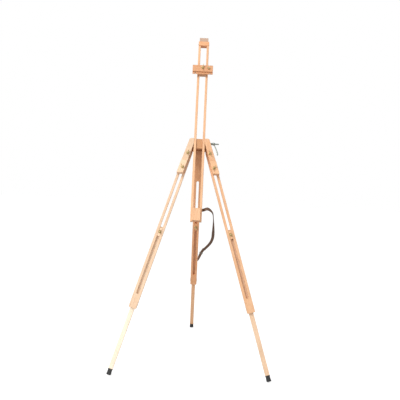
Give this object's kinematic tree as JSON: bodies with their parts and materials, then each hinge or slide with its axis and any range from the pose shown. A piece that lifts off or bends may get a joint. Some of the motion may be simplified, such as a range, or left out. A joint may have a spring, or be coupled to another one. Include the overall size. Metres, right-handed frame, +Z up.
{
  "type": "tripod field easel",
  "caption": "Folding wooden field easel: telescopic slotted legs, a tilting and sliding twin-rail mast, canvas rests on the front legs and a top canvas clamp.",
  "frame": {"origin": "on the floor under the middle of the bounding box", "axes": "+Z up, front of the easel faces -Y, +X is the viewer's right"},
  "size_m": [0.8098, 0.8616, 1.7749],
  "materials": {
    "beech": "oiled, fine straight grain",
    "beech_shadowed": "oiled",
    "brass": "plain, a little dulled",
    "steel": "zinc plated",
    "rubber": "matte",
    "leather": "waxed"
  },
  "bodies": {
    "head": {"head_yoke": "beech_shadowed", "left_cheek": "beech", "right_cheek": "beech", "clamp_bolt": "steel", "lever_collar": "steel", "rear_hinge_lug_left": "beech_shadowed", "rear_hinge_lug_right": "beech_shadowed", "rear_hinge_pin": "steel", "left_pivot_bolt": "brass", "right_pivot_bolt": "brass"},
    "clamp_lever": {"lever_hub": "steel", "lever_arm": "steel"},
    "mast_saddle": {"clamp_sleeve": "steel", "saddle_block": "beech_shadowed"},
    "mast": {"left_rail": "beech", "right_rail": "beech", "top_block": "beech", "top_cap": "beech", "bottom_block": "beech", "bottom_plate": "beech"},
    "top_clamp": {"clamp_plate": "beech", "clamp_block": "beech", "clamp_lip": "beech", "clamp_tongue": "beech", "top_clamp_bolt": "brass"},
    "top_clamp_nut": {"clamp_wing_nut": "brass"},
    "clamp_knob": {"clamp_knob": "steel"},
    "rear_leg": {"rear_leg_board": "beech", "rear_leg_keeper": "steel", "back_strap": "leather"},
    "left_leg": {"left_leg_board": "beech", "left_leg_keeper": "steel"},
    "left_pivot_nut": {"left_pivot_wing_nut": "brass"},
    "left_rest": {"left_rest_block": "beech", "left_rest_tongue": "beech", "left_rest_bolt": "brass"},
    "left_rest_nut": {"left_rest_wing_nut": "brass"},
    "right_leg": {"right_leg_board": "beech", "right_leg_keeper": "steel"},
    "right_pivot_nut": {"right_pivot_wing_nut": "brass"},
    "right_rest": {"right_rest_block": "beech", "right_rest_tongue": "beech", "right_rest_bolt": "brass"},
    "right_rest_nut": {"right_rest_wing_nut": "brass"},
    "left_lower": {"left_lower_bar": "beech", "left_guide_block": "beech", "left_leg_bolt": "brass", "left_foot": "rubber"},
    "left_leg_nut": {"left_leg_wing_nut": "brass"},
    "right_lower": {"right_lower_bar": "beech", "right_guide_block": "beech", "right_leg_bolt": "brass", "right_foot": "rubber"},
    "right_leg_nut": {"right_leg_wing_nut": "brass"},
    "rear_lower": {"rear_lower_bar": "beech", "rear_guide_block": "beech", "rear_leg_bolt": "brass", "rear_foot": "rubber"},
    "rear_leg_nut": {"rear_leg_wing_nut": "brass"}
  },
  "joints": [
    {"name": "clamp_lever_turn", "type": "hinge", "parent": "head", "child": "clamp_lever", "pos_m": [0, -0.20341, 1.17073], "axis": [1, 0, 0], "range_deg": [-150, 30]},
    {"name": "mast_tilt", "type": "hinge", "parent": "head", "child": "mast_saddle", "pos_m": [0, -0.20341, 1.17073], "axis": [1, 0, 0], "range_deg": [-28, 20], "deforming": ["back_strap"]},
    {"name": "mast_slide", "type": "slide", "parent": "mast_saddle", "child": "mast", "axis": [0, 0.294, 0.9558], "range_m": [-0.27, 0.31]},
    {"name": "top_clamp_slide", "type": "slide", "parent": "mast", "child": "top_clamp", "axis": [0, 0.294, 0.9558], "range_m": [-0.1, 0.11]},
    {"name": "top_clamp_nut_turn", "type": "hinge", "parent": "top_clamp", "child": "top_clamp_nut", "pos_m": [0, -0.11756, 1.58583], "axis": [0, -0.9558, 0.294], "continuous": true},
    {"name": "clamp_knob_turn", "type": "hinge", "parent": "top_clamp", "child": "clamp_knob", "pos_m": [0.031, -0.11873, 1.58201], "axis": [0, -0.9558, 0.294], "continuous": true},
    {"name": "rear_leg_swing", "type": "hinge", "parent": "head", "child": "rear_leg", "pos_m": [0, -0.14676, 1.14609], "axis": [1, 0, 0], "range_deg": [-38, 0]},
    {"name": "left_leg_swing", "type": "hinge", "parent": "head", "child": "left_leg", "pos_m": [-0.05769, -0.1955, 1.11169], "axis": [0, -0.977, 0.213], "range_deg": [0, 16.5]},
    {"name": "left_pivot_nut_turn", "type": "hinge", "parent": "head", "child": "left_pivot_nut", "pos_m": [-0.05769, -0.23488, 1.12027], "axis": [0, -0.977, 0.213], "continuous": true},
    {"name": "left_rest_slide", "type": "slide", "parent": "left_leg", "child": "left_rest", "axis": [0.2857, 0.2042, 0.9363], "range_m": [-0.14, 0]},
    {"name": "left_rest_nut_turn", "type": "hinge", "parent": "left_rest", "child": "left_rest_nut", "pos_m": [-0.08174, -0.24688, 1.04033], "axis": [0, -0.977, 0.213], "continuous": true},
    {"name": "right_leg_swing", "type": "hinge", "parent": "head", "child": "right_leg", "pos_m": [0.05769, -0.1955, 1.11169], "axis": [0, 0.977, -0.213], "range_deg": [0, 16.5]},
    {"name": "right_pivot_nut_turn", "type": "hinge", "parent": "head", "child": "right_pivot_nut", "pos_m": [0.05769, -0.23488, 1.12027], "axis": [0, -0.977, 0.213], "continuous": true},
    {"name": "right_rest_slide", "type": "slide", "parent": "right_leg", "child": "right_rest", "axis": [-0.2857, 0.2042, 0.9363], "range_m": [-0.14, 0]},
    {"name": "right_rest_nut_turn", "type": "hinge", "parent": "right_rest", "child": "right_rest_nut", "pos_m": [0.08174, -0.24688, 1.04033], "axis": [0, -0.977, 0.213], "continuous": true},
    {"name": "left_leg_extend", "type": "slide", "parent": "left_leg", "child": "left_lower", "axis": [0.2857, 0.2042, 0.9363], "range_m": [-0.3, 0.15]},
    {"name": "left_leg_nut_turn", "type": "hinge", "parent": "left_lower", "child": "left_leg_nut", "pos_m": [-0.18254, -0.29644, 0.70507], "axis": [0, -0.977, 0.213], "continuous": true},
    {"name": "right_leg_extend", "type": "slide", "parent": "right_leg", "child": "right_lower", "axis": [-0.2857, 0.2042, 0.9363], "range_m": [-0.3, 0.15]},
    {"name": "right_leg_nut_turn", "type": "hinge", "parent": "right_lower", "child": "right_leg_nut", "pos_m": [0.18254, -0.29644, 0.70507], "axis": [0, -0.977, 0.213], "continuous": true},
    {"name": "rear_leg_extend", "type": "slide", "parent": "rear_leg", "child": "rear_lower", "axis": [0, -0.4368, 0.8996], "range_m": [-0.31, 0.27]},
    {"name": "rear_leg_nut_turn", "type": "hinge", "parent": "rear_lower", "child": "rear_leg_nut", "pos_m": [0, 0.05648, 0.70007], "axis": [0, -0.8996, -0.4368], "continuous": true}
  ]
}
